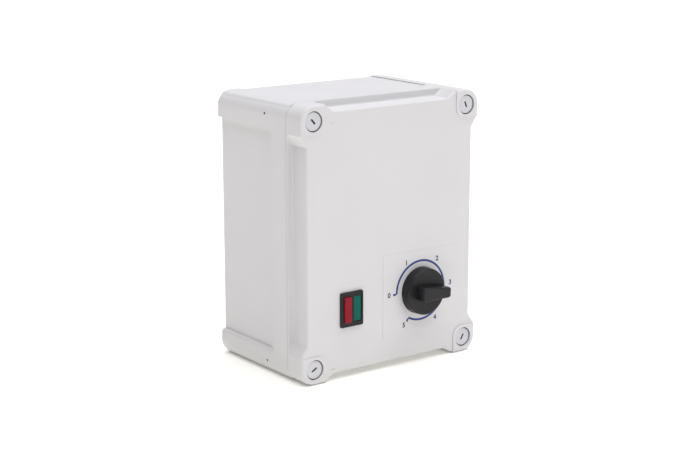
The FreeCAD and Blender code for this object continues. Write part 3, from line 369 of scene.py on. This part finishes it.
def return_spring(name, finish):
    """Stand in for a button's spring with a copy that rides on the enclosure, and hide the
    spring.
    """
    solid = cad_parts[name]
    mesh = solid.data.copy()
    mesh.materials.clear()
    spring = new_piece(name.replace("spring", "return_coil"), mesh, finish, "enclosure",
                       solid.matrix_world)
    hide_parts(name)
    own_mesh(spring)


# ---------------------------------------------------------------- studio

FLOOR_HALF = 20.0
SUN_STRENGTH, SUN_WIDTH = 2.95, 70
SUN_COLOUR = (0.985, 0.97, 1.0)
SUN_DIRECTION = (-0.05, 0.10, -1)
SURROUND_COLOUR = (0.975, 0.965, 1.0, 1)
SURROUND_LEFT, SURROUND_RIGHT = 0.10, 0.48
SENSOR_WIDTH, FOCAL_LENGTH = 36.0, 81.0
# The camera's place across, out from the lid's face and up, and where it looks.
CAMERA_ACROSS, CAMERA_OUT, CAMERA_UP = -0.8575, 1.0863, 0.4462
CAMERA_DIRECTION = (0.5834, 0.7818, -0.2201)


def aimed(direction):
    """The rotation that turns a lamp or a camera to look along a direction."""
    return Vector(direction).to_track_quat("-Z", "Y").to_euler()


def studio():
    """A pale floor, a pale surround and one broad soft light overhead."""
    mesh = bpy.data.meshes.new("floor")
    half = FLOOR_HALF
    corners = [(-half, -half, 0), (half, -half, 0), (half, half, 0), (-half, half, 0)]
    mesh.from_pydata(corners, [], [(0, 1, 2, 3)])
    mesh.materials.append(floor_white().material)
    floor = bpy.data.objects.new("floor", mesh)
    bpy.context.scene.collection.objects.link(floor)
    surround()
    light = bpy.data.lights.new("overhead", "SUN")
    light.energy = SUN_STRENGTH
    light.angle = math.radians(SUN_WIDTH)
    light.color = SUN_COLOUR
    lamp = bpy.data.objects.new("overhead", light)
    lamp.rotation_euler = aimed(SUN_DIRECTION)
    bpy.context.scene.collection.objects.link(lamp)
    bpy.context.scene.view_settings.view_transform = "Standard"


def surround():
    """A pale surround that is brighter towards the object's right than towards its left."""
    world = bpy.data.worlds.new("surround")
    bpy.context.scene.world = world
    world.use_nodes = True
    tree = world.node_tree
    sky = tree.nodes["Background"]
    sky.inputs["Color"].default_value = SURROUND_COLOUR
    direction = tree.nodes.new("ShaderNodeTexCoord")
    parts = tree.nodes.new("ShaderNodeSeparateXYZ")
    strength = tree.nodes.new("ShaderNodeMapRange")
    set_range(strength, -1, 1, SURROUND_LEFT, SURROUND_RIGHT)
    tree.links.new(direction.outputs["Generated"], parts.inputs["Vector"])
    tree.links.new(parts.outputs["X"], strength.inputs["Value"])
    tree.links.new(strength.outputs["Result"], sky.inputs["Strength"])


def camera():
    """The viewpoint: to the left, a little above, through a short telephoto lens."""
    lens = bpy.data.cameras.new("camera")
    lens.sensor_width = SENSOR_WIDTH
    lens.lens = FOCAL_LENGTH
    lens.clip_end = 100
    view = bpy.data.objects.new("camera", lens)
    view.location = (CAMERA_ACROSS, FACE_Y - CAMERA_OUT, CAMERA_UP)
    view.rotation_euler = aimed(CAMERA_DIRECTION)
    bpy.context.scene.collection.objects.link(view)
    bpy.context.scene.camera = view


# ---------------------------------------------------------------- the object

camera()
studio()

# The case, what is fitted to it and what is printed on its label.
paint(case_plastic(), "lid", "enclosure_base")
paint(white_screw(), "cover_screw_tl", "cover_screw_tr", "cover_screw_bl", "cover_screw_br")
paint(black_plastic("switch_black", 0.42), "switch_housing", "switch_back", "fuse_holder")
paint(black_plastic("knob_black", 0.38), "dial_knob")
paint(button_plastic("red_plastic", (0.315, 0.013, 0.026), (0.265, 0.010, 0.021)), "red_button")
paint(button_plastic("green_plastic", (0.004, 0.135, 0.100), (0.003, 0.110, 0.082)),
      "green_button")
paint(label_film(), "dial_label")
ink_line(scale_ink("line_ink", (0.006, 0.030, 0.190), (0.010, 0.042, 0.250)))
numerals(scale_ink("numeral_ink", (0.012, 0.020, 0.090), (0.016, 0.026, 0.120)))

# What the case holds: metals first, then rubber, plastics and insulation.
bright_steel = metal("bright_steel", (0.6, 0.6, 0.61), (0.5, 0.5, 0.52), 0.3, (1, 20, 1))
paint(bright_steel, "shaft", "shaft_clip", "grub_screws", "red_spring", "green_spring",
      "brush_spring")
return_spring("red_spring", bright_steel)
return_spring("green_spring", bright_steel)
paint(metal("tinned_brass", (0.72, 0.66, 0.5), (0.6, 0.54, 0.4), 0.32),
      "switch_terminals", "brush_holder", "fuse_clips", "earth_stud", "shaft_bushes")
paint(metal("copper_wire", (0.75, 0.32, 0.16), (0.55, 0.2, 0.09), 0.35, grain=600),
      "winding", "release_coil")
paint(metal("zinc_plate", (0.62, 0.64, 0.68), (0.5, 0.52, 0.56), 0.38),
      "mounting_plate", "plate_screws", "terminal_rail", "clamp_bolts")
paint(metal("core_steel", (0.25, 0.25, 0.27), (0.18, 0.18, 0.2), 0.45, grain=300), "coil_core")
paint(metal("cast_aluminium", (0.6, 0.61, 0.62), (0.48, 0.49, 0.5), 0.5),
      "variac_base", "brush_arm")
paint(moulded("dark_rubber", (0.03, 0.03, 0.032), (0.045, 0.045, 0.048), 0.65),
      "shaft_seal", "end_stop")
paint(moulded("gasket_foam", (0.50, 0.50, 0.50), (0.44, 0.44, 0.44), 0.8, grain=900,
              depth=0.1 * MM), "lid_gasket")
paint(moulded("grey_rubber", (0.3, 0.3, 0.31), (0.26, 0.26, 0.27), 0.6), "cable_grommets")
paint(moulded("pressboard", (0.4, 0.27, 0.13), (0.3, 0.2, 0.1), 0.7, grain=700,
              depth=0.08 * MM), "core_cups", "rear_insulator")
paint(moulded("bakelite", (0.06, 0.028, 0.015), (0.085, 0.04, 0.02), 0.35), "front_spider")
paint(moulded("graphite", (0.03, 0.03, 0.033), (0.05, 0.05, 0.055), 0.4), "carbon_brush")
paint(moulded("grey_nylon", (0.35, 0.35, 0.34), (0.3, 0.3, 0.29), 0.5),
      "terminal_blocks", "rail_end_stops", "screw_receivers")
paint(moulded("earth_nylon", (0.35, 0.42, 0.03), (0.28, 0.36, 0.02), 0.5), "earth_terminal")
paint(moulded("wire_sleeve", (0.13, 0.045, 0.02), (0.1, 0.035, 0.015), 0.45),
      "supply_wires", "coil_wires")
